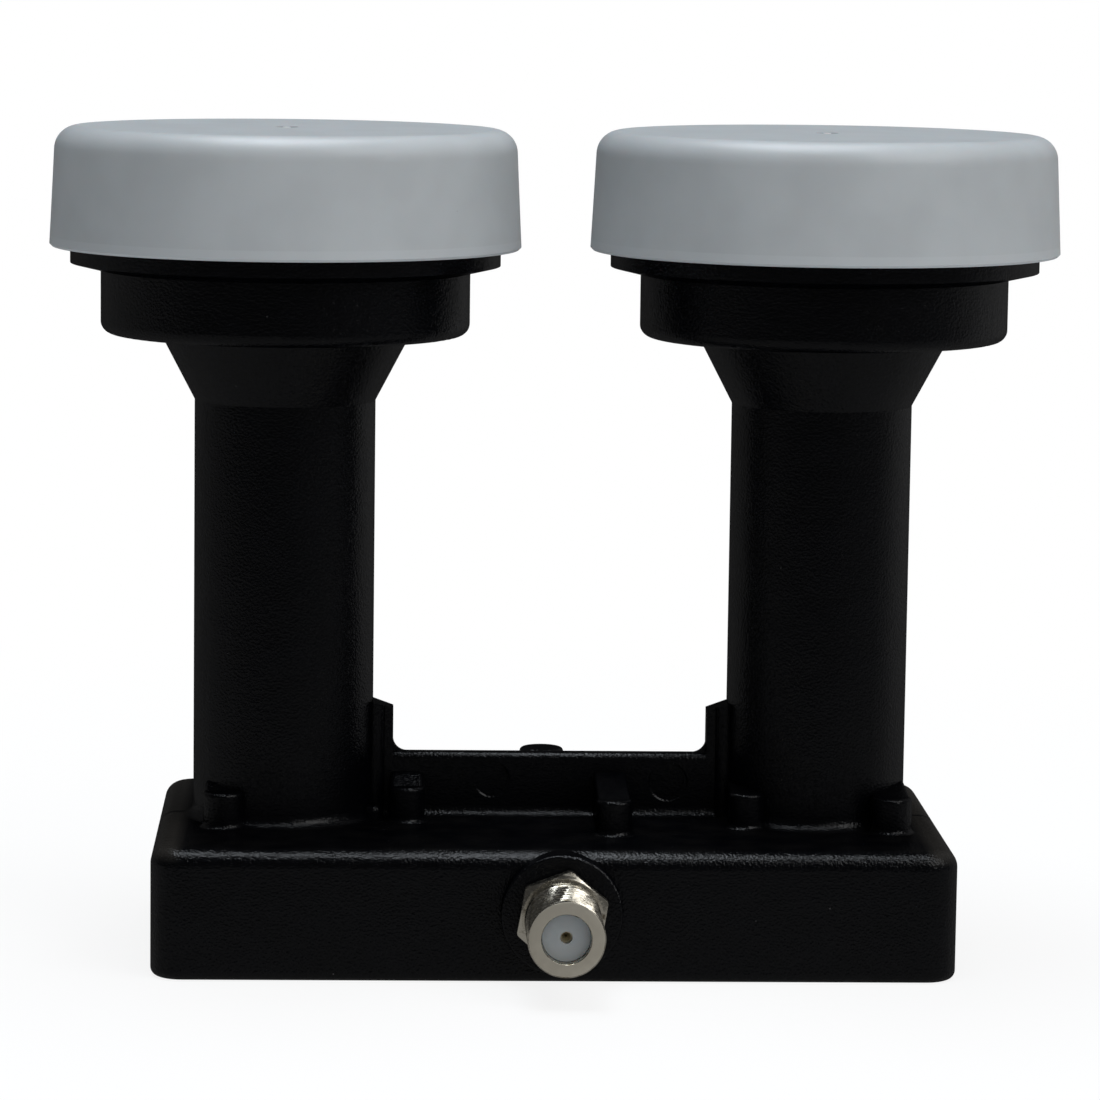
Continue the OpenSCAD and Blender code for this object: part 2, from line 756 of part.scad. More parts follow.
module circuit_board() {
    color(BOARD_GREEN) translate([0, 0, board_low_z]) linear_extrude(board_t) difference() {
        union() {
            difference() {
                rounded_rect(board_w, board_d, cavity_r);
                for (x = feeds) translate([x, 0]) circle(guide_r);
            }
            for (x = feeds) translate([x, 0]) {
                translate([x > 0 ? -guide_r - tongue_root : guide_r + tongue_root - tongue_l, -tongue_w / 2])
                    square([tongue_l, tongue_w]);
                translate([-tongue_w / 2, guide_r + tongue_root - tongue_l]) square([tongue_w, tongue_l]);
            }
        }
        for (b = bosses) translate(b[0]) circle(boss_hole_r);
        at_corner_posts() circle(post_r + drop_clear);
    }
}

// Flat package hanging from the board, with leads on two of its sides
module chip(at, size, leads) {
    translate([at[0], at[1], board_low_z - size[2]]) {
        translate([-size[0] / 2, -size[1] / 2, 0]) cube(size);
        for (i = [0 : leads - 1], side = [-1, 1])
            translate([(i - (leads - 1) / 2) * size[0] / leads - lead_w / 2,
                side > 0 ? size[1] / 2 : -size[1] / 2 - lead_l, size[2] - lead_t])
                cube([lead_w, lead_l, lead_t]);
    }
}

module input_amplifiers() {
    color(CHIP_BLACK) for (side = [-1, 1], y = amplifier_rows)
        chip([side * amplifier_x, y], amplifier_size, 2);
}

module mixer_chip() { color(CHIP_BLACK) chip(mixer_at, mixer_size, 6); }

module output_amplifier() { color(CHIP_BLACK) chip(output_amplifier_at, output_amplifier_size, 3); }

module switch_controller() { color(CHIP_BLACK) chip(switch_controller_at, switch_controller_size, 4); }

module voltage_regulator() { color(CHIP_BLACK) chip(regulator_at, regulator_size, 3); }

module supply_capacitors() {
    color(CAPACITOR_TAN) for (at = [[0, 0], [0, 1], [1, 1]])
        translate([capacitor_at[0] + at[0] * capacitor_step[0] - capacitor_size[0] / 2,
            capacitor_at[1] + at[1] * capacitor_step[1] - capacitor_size[1] / 2,
            board_low_z - capacitor_size[2]])
            cube(capacitor_size);
}

module supply_choke() {
    color(FERRITE) translate([choke_at[0], choke_at[1], board_low_z - choke_h])
        rotate_extrude() difference() {
            square([choke_r, choke_h]);
            translate([choke_core_r, choke_flange_t]) square([choke_r, choke_h - 2 * choke_flange_t]);
        }
}

module puck(at, d) {
    color(PUCK_TAN) translate([at[0], at[1], board_low_z - puck_h]) cylinder(d = d, h = puck_h);
}

module resonator_low_band() { puck(low_puck_at, low_puck_d); }

module resonator_high_band() { puck(high_puck_at, high_puck_d); }

housing();
feed_cap_left();
feed_cap_right();
cap_seal_left();
cap_seal_right();
connector_shell();
connector_insulator();
connector_contact();
connector_seal();
base_cover();
cover_gasket();
cover_screws();
rf_shield();
shield_screws();
circuit_board();
input_amplifiers();
mixer_chip();
output_amplifier();
switch_controller();
voltage_regulator();
supply_capacitors();
supply_choke();
resonator_low_band();
resonator_high_band();
tuning_screw_low_band();
tuning_screw_high_band();
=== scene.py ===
import math

import bmesh
import bpy
from bpy.props import FloatProperty, FloatVectorProperty, IntProperty, PointerProperty
from bpy.types import Operator, Panel, PropertyGroup
from mathutils import Matrix, Vector


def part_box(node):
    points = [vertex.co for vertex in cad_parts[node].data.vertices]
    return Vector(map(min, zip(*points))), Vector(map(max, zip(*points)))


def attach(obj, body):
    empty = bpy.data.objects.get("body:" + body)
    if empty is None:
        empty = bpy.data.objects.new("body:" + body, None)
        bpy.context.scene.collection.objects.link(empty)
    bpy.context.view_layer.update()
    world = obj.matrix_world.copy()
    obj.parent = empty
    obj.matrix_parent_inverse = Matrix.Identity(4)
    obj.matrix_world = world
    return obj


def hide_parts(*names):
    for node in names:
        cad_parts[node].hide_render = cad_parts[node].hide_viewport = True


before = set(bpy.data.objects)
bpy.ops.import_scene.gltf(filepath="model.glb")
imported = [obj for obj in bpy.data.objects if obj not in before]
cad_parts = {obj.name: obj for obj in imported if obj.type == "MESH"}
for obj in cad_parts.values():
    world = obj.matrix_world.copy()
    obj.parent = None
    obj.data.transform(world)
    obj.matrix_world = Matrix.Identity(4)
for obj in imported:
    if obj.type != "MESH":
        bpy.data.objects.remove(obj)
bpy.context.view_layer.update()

bl_info = {
    "name": "Satellite feed head",
    "version": (1, 0, 0),
    "blender": (4, 5, 0),
    "location": "3D View > Sidebar > Feed head",
    "description": "Dresses a feed head with two horns: coat, caps, coax connector, cover and studio",
    "category": "Object",
}

MM = 0.001

# Places on the casting: front of the web, a height just above the box's top, X where the box's
# open ends begin and reach full strength, distances from the middle plane at which the parting
# seam begins and reaches full depth, and X, Z and radius of the ejector marks as in the photo
WEB_FRONT = -1.5 * MM
ABOVE_BOX = 17.0 * MM
END_FROM = 46.0 * MM
END_FULL = 47.5 * MM
SEAM_OUTER = 0.60 * MM
SEAM_INNER = 0.25 * MM
EJECTOR_MARKS = ((-7.4 * MM, 21.15 * MM, 2.25 * MM), (15.26 * MM, 20.96 * MM, 2.45 * MM))

# Connector: the shell's radii, and the hexagon's size and turn
BORE_R = 3.0 * MM
CREST_R = 4.76 * MM
TAIL_R = 4.0 * MM
HEX_FLATS = 10.4 * MM
HEX_DEPTH = 1.8 * MM
HEX_HOLE_R = 4.2 * MM
HEX_TURN = math.radians(-20.2)

# Colours of dust and of the painted light on the box's ends, of the painted highlight on the gate marks'
# centres, and of plain light
DUST_FILM_AND_END_LIGHT = (0.32, 0.29, 0.25, 1.0)
DUST_SPECK = (0.32, 0.31, 0.30, 1.0)
CAP_SPECK = (0.16, 0.15, 0.13, 1.0)
GATE_HIGHLIGHT = (0.78, 0.79, 0.79, 1.0)
WHITE = (1.0, 1.0, 1.0, 1.0)
SKY = (0.88, 0.94, 1.0)

# Lamps: name, place, aim, width, height, power at lamp level 1 and colour
LAMPS = (
    ("Overhead softbox", (-0.05, 0.06, 0.90), (-0.05, 0.06, 0.0), 0.5, 0.72, 7.8, SKY),
    ("Left softbox", (-0.11, 0.06, 0.88), (-0.11, 0.06, 0.0), 0.22, 0.5, 1.0, SKY),
    ("Front softbox", (0.50, -0.45, 0.66), (0.0, 0.0, 0.06), 0.5, 0.5, 2.3, WHITE[:3]),
)


# Settings

class CoatSettings(PropertyGroup):
    """Black powder coat of the casting"""
    colour: FloatVectorProperty(
        name="Coat colour", description="Colour of the black coat", subtype="COLOR",
        size=3, min=0.0, max=1.0, default=(0.0008, 0.0009, 0.0014))
    peel_size: FloatProperty(
        name="Grain size", description="Width of one dimple of the coat's grain",
        default=0.31 * MM, unit="LENGTH", precision=5)
    peel_depth: FloatProperty(
        name="Grain depth", description="Depth of the coat's grain",
        default=0.10 * MM, unit="LENGTH", precision=6)
    seam_depth: FloatProperty(
        name="Seam depth", description="Depth of the mould's parting seam on the two ends of the box",
        default=0.10 * MM, min=0.0, unit="LENGTH", precision=5)
    # Painted light: share of a paler colour painted on the upward faces of the box's two ends
    end_painted_light: FloatProperty(
        name="Painted light on the ends", description="Share of painted light on the open ends of the ledge",
        default=0.052, min=0.0, max=1.0, subtype="FACTOR")
    mark_depth: FloatProperty(
        name="Mark depth", description="Depth of the ejector pins' marks on the web",
        default=0.13 * MM, unit="LENGTH", precision=6)
    gloss: FloatProperty(
        name="Gloss", description="Share of the light that the coat's skin mirrors",
        default=0.46, min=0.0, max=1.0, subtype="FACTOR")
    roughness: FloatProperty(
        name="Roughness", description="Roughness of the coat's skin",
        default=0.21, min=0.0, max=1.0, subtype="FACTOR")


class CapSettings(PropertyGroup):
    """Pale moulded caps"""
    colour: FloatVectorProperty(
        name="Cap colour", description="Colour of the moulded caps", subtype="COLOR",
        size=3, min=0.0, max=1.0, default=(0.345, 0.362, 0.372))
    roughness: FloatProperty(
        name="Roughness", description="Roughness of the caps",
        default=0.42, min=0.0, max=1.0, subtype="FACTOR")
    # Painted highlight: a paler band painted along the cap's lower rim
    rim_highlight_height: FloatProperty(
        name="Rim highlight", description="Height of the faint painted highlight band along the cap's lower rim",
        default=1.3 * MM, unit="LENGTH", precision=4)


class ConnectorSettings(PropertyGroup):
    """Coax connector"""
    nickel: FloatVectorProperty(
        name="Nickel colour", description="Colour of the plating", subtype="COLOR",
        size=3, min=0.0, max=1.0, default=(0.33, 0.31, 0.265))
    tarnish: FloatVectorProperty(
        name="Tarnish colour", description="Colour of the brown tarnish on the plating", subtype="COLOR",
        size=3, min=0.0, max=1.0, default=(0.19, 0.16, 0.11))
    thread_pitch: FloatProperty(
        name="Thread pitch", description="Distance from one turn of the thread to the next",
        default=25.4 / 32 * MM, unit="LENGTH", precision=5)
    thread_depth: FloatProperty(
        name="Thread depth", description="Depth of the thread's grooves",
        default=0.42 * MM, unit="LENGTH", precision=5)
    thread_segments: IntProperty(
        name="Thread segments", description="Straight pieces in one turn of the thread",
        default=96, min=24, max=160)


class CoverSettings(PropertyGroup):
    """Base cover and its screws"""
    colour: FloatVectorProperty(
        name="Cover colour", description="Colour of the bare sheet", subtype="COLOR",
        size=3, min=0.0, max=1.0, default=(0.60, 0.61, 0.62))
    recess_width: FloatProperty(
        name="Recess width", description="Width of the cross recess in the screw heads",
        default=0.62 * MM, unit="LENGTH", precision=5)
    turn_seed: IntProperty(
        name="Turn seed", description="Seed of the angle at which each screw ends up",
        default=4, min=0)


class StageSettings(PropertyGroup):
    """Studio"""
    floor_colour: FloatVectorProperty(
        name="Floor colour", description="Colour of the plain floor", subtype="COLOR",
        size=3, min=0.0, max=1.0, default=(0.80, 0.80, 0.80))
    lamp_level: FloatProperty(
        name="Lamp level", description="Level of all lamps together, 1 being plain studio light",
        default=1.0, min=0.0, max=4.0)
    camera_distance: FloatProperty(
        name="Camera distance", description="Distance of the camera in front of the horns",
        default=0.59786, unit="LENGTH", precision=5)
    camera_height: FloatProperty(
        name="Camera height", description="Height of the camera above the floor",
        default=128.434 * MM, unit="LENGTH", precision=5)
    lens: FloatProperty(
        name="Focal length", description="Focal length of the camera in millimetres",
        default=154.03, min=10.0)


SETTINGS = {
    "lnb_coat": CoatSettings,
    "lnb_cap": CapSettings,
    "lnb_connector": ConnectorSettings,
    "lnb_cover": CoverSettings,
    "lnb_stage": StageSettings,
}


# Node helpers

def add(tree, kind, inputs=None, **attributes):
    """Adds a node, sets its attributes and its inputs, and links the inputs that are sockets."""
    made = tree.nodes.new(kind)
    for key, value in attributes.items():
        setattr(made, key, value)
    for key, value in (inputs or {}).items():
        socket = made.inputs[key]
        if isinstance(value, bpy.types.NodeSocket):
            tree.links.new(value, socket)
        else:
            socket.default_value = value
    return made


def maths(tree, operation, a, b=0.0, clamp=False):
    """Result of one operation on one or two numbers."""
    made = add(tree, "ShaderNodeMath", {0: a, 1: b}, operation=operation, use_clamp=clamp)
    return made.outputs[0]


def times(tree, a, b):
    return maths(tree, "MULTIPLY", a, b)


def remap(tree, value, low, high, to_low=0.0, to_high=1.0):
    """Maps a range to another, 0 to 1 if none is given, and holds the value at the range's ends."""
    inputs = {"Value": value, "From Min": low, "From Max": high, "To Min": to_low, "To Max": to_high}
    return add(tree, "ShaderNodeMapRange", inputs).outputs[0]


def blend(tree, mask, first, second):
    """Number that goes from the first to the second as the mask goes from 0 to 1."""
    return add(tree, "ShaderNodeMix", {0: mask, 2: first, 3: second}, data_type="FLOAT").outputs[0]


def blend_colour(tree, mask, first, second):
    """Colour that goes from the first to the second as the mask goes from 0 to 1."""
    made = add(tree, "ShaderNodeMix", {0: mask, 6: first, 7: second}, data_type="RGBA")
    return made.outputs[2]


def axes(tree, vector):
    """X, Y and Z of a vector, as the sockets of one node."""
    return add(tree, "ShaderNodeSeparateXYZ", {0: vector}).outputs


def distance(tree, place, point):
    """Distance from a place to a fixed point."""
    made = add(tree, "ShaderNodeVectorMath", {0: place, 1: point}, operation="DISTANCE")
    return made.outputs["Value"]


def noise(tree, place, scale, detail=2.0, roughness=0.5):
    """Cloudy pattern of values about 0.5."""
    inputs = {"Vector": place, "Scale": scale, "Detail": detail, "Roughness": roughness}
    return add(tree, "ShaderNodeTexNoise", inputs).outputs["Fac"]


def rgba(colour, level=1.0):
    """Colour with full opacity, made lighter or darker by the level."""
    return (colour[0] * level, colour[1] * level, colour[2] * level, 1.0)


def new_group(name, inputs, outputs):
    """Starts a shader node group with named float inputs and outputs."""
    tree = bpy.data.node_groups.new(name, "ShaderNodeTree")
    tree.interface.new_socket(name="Vector", in_out="INPUT", socket_type="NodeSocketVector")
    for label, value in inputs.items():
        socket = tree.interface.new_socket(name=label, in_out="INPUT", socket_type="NodeSocketFloat")
        socket.default_value = value
    for label in outputs:
        tree.interface.new_socket(name=label, in_out="OUTPUT", socket_type="NodeSocketFloat")
    return tree, tree.nodes.new("NodeGroupInput"), tree.nodes.new("NodeGroupOutput")


def grain_group():
    """Rounded dimples of a powder coat or a moulded skin, with a slower waviness under them."""
    if "Moulded grain" in bpy.data.node_groups:
        return bpy.data.node_groups["Moulded grain"]
    tree, given, result = new_group(
        "Moulded grain", {"Size": 0.4 * MM, "Waviness": 0.3}, ["Height", "Mask", "Fine"])
    slow_share = 0.07
    scale = maths(tree, "DIVIDE", 1.0, given.outputs["Size"])
    fine = noise(tree, given.outputs["Vector"], scale, detail=1.5)
    slow = noise(tree, given.outputs["Vector"], times(tree, scale, slow_share))
    wave = times(tree, slow, given.outputs["Waviness"])
    tree.links.new(maths(tree, "ADD", fine, wave), result.inputs["Height"])
    tree.links.new(remap(tree, slow, 0.35, 0.65), result.inputs["Mask"])
    tree.links.new(remap(tree, fine, 0.30, 0.70), result.inputs["Fine"])
    return tree


def rub_group():
    """Fine marks that run along one direction, as on a turned, drawn or brushed metal."""
    if "Rub marks" in bpy.data.node_groups:
        return bpy.data.node_groups["Rub marks"]
    tree, given, result = new_group("Rub marks", {"Fineness": 9000.0, "Stretch": 0.04}, ["Height", "Mask"])
    stretch = add(tree, "ShaderNodeCombineXYZ", {"X": given.outputs["Stretch"], "Y": 1.0, "Z": 1.0})
    along = add(tree, "ShaderNodeVectorMath", {0: given.outputs["Vector"], 1: stretch.outputs[0]},
                operation="MULTIPLY")
    marks = noise(tree, along.outputs[0], given.outputs["Fineness"], detail=3.0)
    tree.links.new(marks, result.inputs["Height"])
    tree.links.new(remap(tree, marks, 0.42, 0.66), result.inputs["Mask"])
    return tree


def dust_group():
    """Single specks, a thin film of dust on the upward faces, and how far a face looks upward."""
    if "Settled dust" in bpy.data.node_groups:
        return bpy.data.node_groups["Settled dust"]
    tree, given, result = new_group(
        "Settled dust", {"Speck spacing": 4.0 * MM, "Speck size": 0.035}, ["Specks", "Film", "Upward"])
    scale = maths(tree, "DIVIDE", 1.0, given.outputs["Speck spacing"])
    cells = add(tree, "ShaderNodeTexVoronoi", {"Vector": given.outputs["Vector"], "Scale": scale})
    speck = maths(tree, "LESS_THAN", cells.outputs["Distance"], given.outputs["Speck size"])
    normal_z = axes(tree, add(tree, "ShaderNodeNewGeometry").outputs["Normal"])["Z"]
    cloud = noise(tree, given.outputs["Vector"], 260.0, detail=4.0)
    film = times(tree, remap(tree, normal_z, 0.55, 1.0), remap(tree, cloud, 0.4, 0.7))
    tree.links.new(speck, result.inputs["Specks"])
    tree.links.new(film, result.inputs["Film"])
    tree.links.new(remap(tree, normal_z, 0.2, 0.8), result.inputs["Upward"])
    return tree


def start_material(name, **values):
    """New material with its Principled shader, the constants set straight on its sockets."""
    made = bpy.data.materials.new(name)
    made.use_nodes = True
    tree = made.node_tree
    tree.nodes.clear()
    shader = add(tree, "ShaderNodeBsdfPrincipled")
    for key, value in values.items():
        shader.inputs[key.replace("_", " ")].default_value = value
    output = tree.nodes.new("ShaderNodeOutputMaterial")
    tree.links.new(shader.outputs[0], output.inputs["Surface"])
    place = tree.nodes.new("ShaderNodeTexCoord").outputs["Object"]
    return made, tree, shader, place


def use_group(tree, group, place, **values):
    """Sockets that come out of a shader node group, with its inputs set by their names."""
    made = tree.nodes.new("ShaderNodeGroup")
    made.node_tree = group
    tree.links.new(place, made.inputs["Vector"])
    for key, value in values.items():
        made.inputs[key.replace("_", " ")].default_value = value
    return made.outputs


def bump(tree, shader, height, depth, strength=1.0):
    """Raises and lowers a material's skin by a pattern of heights, as deep as the depth."""
    made = add(tree, "ShaderNodeBump", {"Height": height, "Distance": depth, "Strength": strength})
    tree.links.new(made.outputs[0], shader.inputs["Normal"])


# Materials

def ejector_marks(tree, place):
    """1 inside the shallow round marks that the mould's ejector pins leave on the web's front, else 0."""
    soft_rim = 0.11 * MM
    at = axes(tree, place)
    flat = add(tree, "ShaderNodeCombineXYZ", {"X": at["X"], "Y": 0.0, "Z": at["Z"]}).outputs[0]
    total = None
    for x, z, radius in EJECTOR_MARKS:
        disc = remap(tree, distance(tree, flat, (x, 0.0, z)), radius + soft_rim, radius - soft_rim)
        total = disc if total is None else maths(tree, "ADD", total, disc)
    front = maths(tree, "COMPARE", at["Y"], WEB_FRONT)
    front.node.inputs[2].default_value = 0.2 * MM
    return times(tree, total, front)


def box_ends(tree, place):
    """1 on the two ends of the box beyond the necks, else 0, and the place's X, Y and Z."""
    at = axes(tree, place)
    beyond = remap(tree, maths(tree, "ABSOLUTE", at["X"]), END_FROM, END_FULL)
    return times(tree, beyond, maths(tree, "LESS_THAN", at["Z"], ABOVE_BOX)), at


def coat_material(settings):
    """Black coat with a fine grain; dust lies on it, the upward faces of the box's ends get painted light in
    the paler dust colour, and the ends show the parting seam.
    """
    made, tree, shader, place = start_material(
        "Black powder coat", Specular_IOR_Level=0.0,
        Coat_Roughness=settings.roughness, Roughness=0.6)
    grain = use_group(tree, grain_group(), place, Size=settings.peel_size, Waviness=0.8)
    dust = use_group(tree, dust_group(), place, Speck_spacing=5.0 * MM, Speck_size=0.018)
    shade = blend_colour(tree, grain["Mask"], rgba(settings.colour, 0.88), rgba(settings.colour, 1.15))
    ends, at = box_ends(tree, place)
    seam = remap(tree, maths(tree, "ABSOLUTE", at["Y"]), SEAM_OUTER, SEAM_INNER)
    # Painted light: a paler colour on the upward faces of the box's two ends, faded out at the parting seam
    end_light_off_seam = remap(tree, seam, 0.0, 1.0, settings.end_painted_light, 0.0)
    painted_end_light = times(tree, times(tree, dust["Upward"], ends), end_light_off_seam)
    film_share, speck_share = 0.006, 0.12
    # Share of the paler colour: the dust film everywhere plus the painted light on the box's ends
    film = maths(tree, "ADD", times(tree, dust["Film"], film_share), painted_end_light)
    filmed_and_lit = blend_colour(tree, film, shade, DUST_FILM_AND_END_LIGHT)
    specked = blend_colour(tree, times(tree, dust["Specks"], speck_share), filmed_and_lit, DUST_SPECK)
    tree.links.new(specked, shader.inputs["Base Color"])
    peel = times(tree, grain["Height"], settings.peel_depth)
    marks = times(tree, ejector_marks(tree, place), settings.mark_depth)
    groove = times(tree, times(tree, seam, ends), settings.seam_depth)
    dented = maths(tree, "SUBTRACT", maths(tree, "SUBTRACT", peel, marks), groove)
    height = add(tree, "ShaderNodeBump", {"Height": dented, "Distance": 1.0})
    tree.links.new(height.outputs[0], shader.inputs["Normal"])
    tree.links.new(height.outputs[0], shader.inputs["Coat Normal"])
    edge_on = add(tree, "ShaderNodeLayerWeight", {"Blend": 0.5}).outputs["Facing"]
    gloss_kept = 0.30
    skin = remap(tree, edge_on, 0.45, 0.90, settings.gloss, settings.gloss * gloss_kept)
    dimples = remap(tree, grain["Fine"], 0.0, 1.0, 0.84, 1.02)
    tree.links.new(times(tree, skin, dimples), shader.inputs["Coat Weight"])
    return made


def cap_material(settings, rim_height, centre_x):
    """Pale plastic with a painted highlight as a paler band along the lower rim, and a painted highlight as a
    pale spot on the gate mark in the middle of the top.
    """
    made, tree, shader, place = start_material(
        "Pale moulded plastic", Roughness=settings.roughness, Specular_IOR_Level=0.38,
        Subsurface_Weight=0.08, Subsurface_Scale=0.6 * MM)
    grain = use_group(tree, grain_group(), place, Size=0.55 * MM, Waviness=1.2)
    dust = use_group(tree, dust_group(), place, Speck_spacing=7.0 * MM, Speck_size=0.012)
    at = axes(tree, place)
    shade = blend_colour(tree, grain["Mask"], rgba(settings.colour, 0.965), rgba(settings.colour, 1.03))
    band_top, band_edge = rim_height + settings.rim_highlight_height, 0.1 * MM
    highlight_share, speck_share = 0.5, 0.35
    # Painted highlight: the cap's colour made paler in a band along the lower rim
    band = remap(tree, at["Z"], band_top + band_edge, band_top)
    rim_lit = blend_colour(tree, times(tree, band, highlight_share), shade, rgba(settings.colour, 1.12))
    specked = blend_colour(tree, times(tree, dust["Specks"], speck_share), rim_lit, CAP_SPECK)
    # Painted highlight: a pale spot painted on the gate mark in the middle of each cap's top
    folded = add(tree, "ShaderNodeCombineXYZ", {"X": maths(tree, "ABSOLUTE", at["X"]), "Y": at["Y"]})
    from_gate = distance(tree, folded.outputs[0], (centre_x, 0.0, 0.0))
    gate_outer, gate_inner = 0.65 * MM, 0.45 * MM
    gate = remap(tree, from_gate, gate_outer, gate_inner)
    gate_lit = blend_colour(tree, gate, specked, GATE_HIGHLIGHT)
    tree.links.new(gate_lit, shader.inputs["Base Color"])
    bump(tree, shader, grain["Height"], 0.004 * MM)
    return made


def nickel_material(settings, name, level, tarnish_from):
    """Worn plating with brown patches; a lower tarnish_from makes more of them."""
    made, tree, shader, place = start_material(name, Metallic=1.0)
    rubs = use_group(tree, rub_group(), place, Fineness=4200.0, Stretch=0.12)
    patches = noise(tree, place, 900.0, detail=5.0, roughness=0.62)
    patch_fade, tarnish_dull = 0.16, 0.14
    tarnish = remap(tree, patches, tarnish_from, tarnish_from + patch_fade)
    colour = blend_colour(tree, tarnish, rgba(settings.nickel, level), rgba(settings.tarnish))
    tree.links.new(colour, shader.inputs["Base Color"])
    rubbed = remap(tree, rubs["Mask"], 0.0, 1.0, 0.17, 0.30)
    dull = maths(tree, "ADD", rubbed, times(tree, tarnish, tarnish_dull))
    tree.links.new(dull, shader.inputs["Roughness"])
    bump(tree, shader, patches, 0.010 * MM, 0.5)
    return made


def matte_nickel_material(settings):
    """Paler, dull plating on the barrel's front ring."""
    made, tree, shader, place = start_material("Blasted nickel face", Metallic=1.0)
    grain = use_group(tree, grain_group(), place, Size=0.16 * MM, Waviness=0.5)
    colour = blend_colour(tree, grain["Mask"], rgba(settings.nickel, 2.6), rgba(settings.nickel, 2.3))
    tree.links.new(colour, shader.inputs["Base Color"])
    tree.links.new(remap(tree, grain["Mask"], 0.0, 1.0, 0.52, 0.64), shader.inputs["Roughness"])
    bump(tree, shader, grain["Height"], 0.01 * MM)
    return made


def metal_material(name, colour, roughness, fineness, stretch, depth=0.004 * MM):
    """Bare metal with fine marks along one direction."""
    made, tree, shader, place = start_material(name, Metallic=1.0)
    rubs = use_group(tree, rub_group(), place, Fineness=fineness, Stretch=stretch)
    cloud = remap(tree, noise(tree, place, 180.0, detail=4.0), 0.35, 0.7)
    shade = blend_colour(tree, cloud, rgba(colour), rgba(colour, 0.80))
    tree.links.new(shade, shader.inputs["Base Color"])
    dull = remap(tree, rubs["Mask"], 0.0, 1.0, roughness, roughness + 0.16)
    tree.links.new(dull, shader.inputs["Roughness"])
    bump(tree, shader, rubs["Height"], depth)
    return made


def grained_material(name, colour, roughness, size=0.3 * MM, depth=0.006 * MM, spread=0.12, **values):
    """Moulded, cast or fired skin with a fine grain and slightly uneven colour."""
    made, tree, shader, place = start_material(name, **values)
    grain = use_group(tree, grain_group(), place, Size=size, Waviness=0.6)
    shade = blend_colour(tree, grain["Mask"], rgba(colour, 1.0 - spread), rgba(colour, 1.0 + spread))
    tree.links.new(shade, shader.inputs["Base Color"])
    dull = remap(tree, grain["Mask"], 0.0, 1.0, roughness, roughness + 0.08)
    tree.links.new(dull, shader.inputs["Roughness"])
    bump(tree, shader, grain["Height"], depth)
    return made


def board_material():
    """Green mask over copper fields, with the paler tracks showing through it."""
    made, tree, shader, place = start_material("Masked laminate", Roughness=0.35, Specular_IOR_Level=0.5)
    tracks = add(tree, "ShaderNodeTexBrick", {
        "Vector": place, "Scale": 160.0, "Mortar Size": 0.035, "Color1": (0.035, 0.150, 0.070, 1.0),
        "Color2": (0.030, 0.125, 0.060, 1.0), "Mortar": (0.070, 0.260, 0.110, 1.0)})
    tree.links.new(tracks.outputs["Color"], shader.inputs["Base Color"])
    bump(tree, shader, tracks.outputs["Fac"], 0.01 * MM, 0.5)
    return made


# Mesh helpers

def placed(name, data):
    """New object with this mesh, lamp or camera, put into the scene."""
    made = bpy.data.objects.new(name, data)
    bpy.context.scene.collection.objects.link(made)
    return made


def finished(name, mesh, materials, smooth_angle=35.0):
    """Puts a mesh into the scene as a piece, shaded smooth with its sharp edges kept."""
    piece = placed(name, mesh)
    mesh.materials.clear()
    for material in materials:
        mesh.materials.append(material)
    mesh.shade_smooth()
    mesh.set_sharp_from_angle(angle=math.radians(smooth_angle))
    return piece


def dress(node, material):
    """Gives a node of the frame its material."""
    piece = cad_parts[node]
    piece.data.materials.clear()
    piece.data.materials.append(material)


def close_and_face_out(mesh):
    """Joins points that lie on each other and turns all faces outward."""
    work = bmesh.new()
    work.from_mesh(mesh)
    bmesh.ops.remove_doubles(work, verts=work.verts, dist=1e-7)
    bmesh.ops.dissolve_degenerate(work, edges=work.edges, dist=1e-8)
    bmesh.ops.recalc_face_normals(work, faces=work.faces)
    work.to_mesh(mesh)
    work.free()


def applied(carrier):
    """Plain mesh of what a carrier's modifiers make; the carrier is then removed."""
    depsgraph = bpy.context.evaluated_depsgraph_get()
    mesh = bpy.data.meshes.new_from_object(carrier.evaluated_get(depsgraph), depsgraph=depsgraph)
    carrier.modifiers.clear()
    bpy.data.objects.remove(carrier)
    return mesh


def set_inputs(modifier, values):
    """Sets a Geometry Nodes modifier's inputs by their sockets' identifiers."""
    for item in modifier.node_group.interface.items_tree:
        if item.item_type == "SOCKET" and item.in_out == "INPUT" and item.name in values:
            modifier[item.identifier] = values[item.name]


def geometry_tree(name, floats=(), others=()):
    """Starts a Geometry Nodes tree with named inputs."""
    tree = bpy.data.node_groups.new(name, "GeometryNodeTree")
    tree.interface.new_socket(name="Geometry", in_out="INPUT", socket_type="NodeSocketGeometry")
    for label in floats:
        tree.interface.new_socket(name=label, in_out="INPUT", socket_type="NodeSocketFloat")
    for label, kind in others:
        tree.interface.new_socket(name=label, in_out="INPUT", socket_type=kind)
    tree.interface.new_socket(name="Geometry", in_out="OUTPUT", socket_type="NodeSocketGeometry")
    return tree, tree.nodes.new("NodeGroupInput"), tree.nodes.new("NodeGroupOutput")


def end_tree(tree, geometry, given, result):
    """Ends a Geometry Nodes tree with Realize Instances and Set Material."""
    plain = add(tree, "GeometryNodeRealizeInstances", {"Geometry": geometry})
    dressed = add(tree, "GeometryNodeSetMaterial",
                  {"Geometry": plain.outputs[0], "Material": given.outputs["Material"]})
    tree.links.new(dressed.outputs[0], result.inputs[0])
    return tree


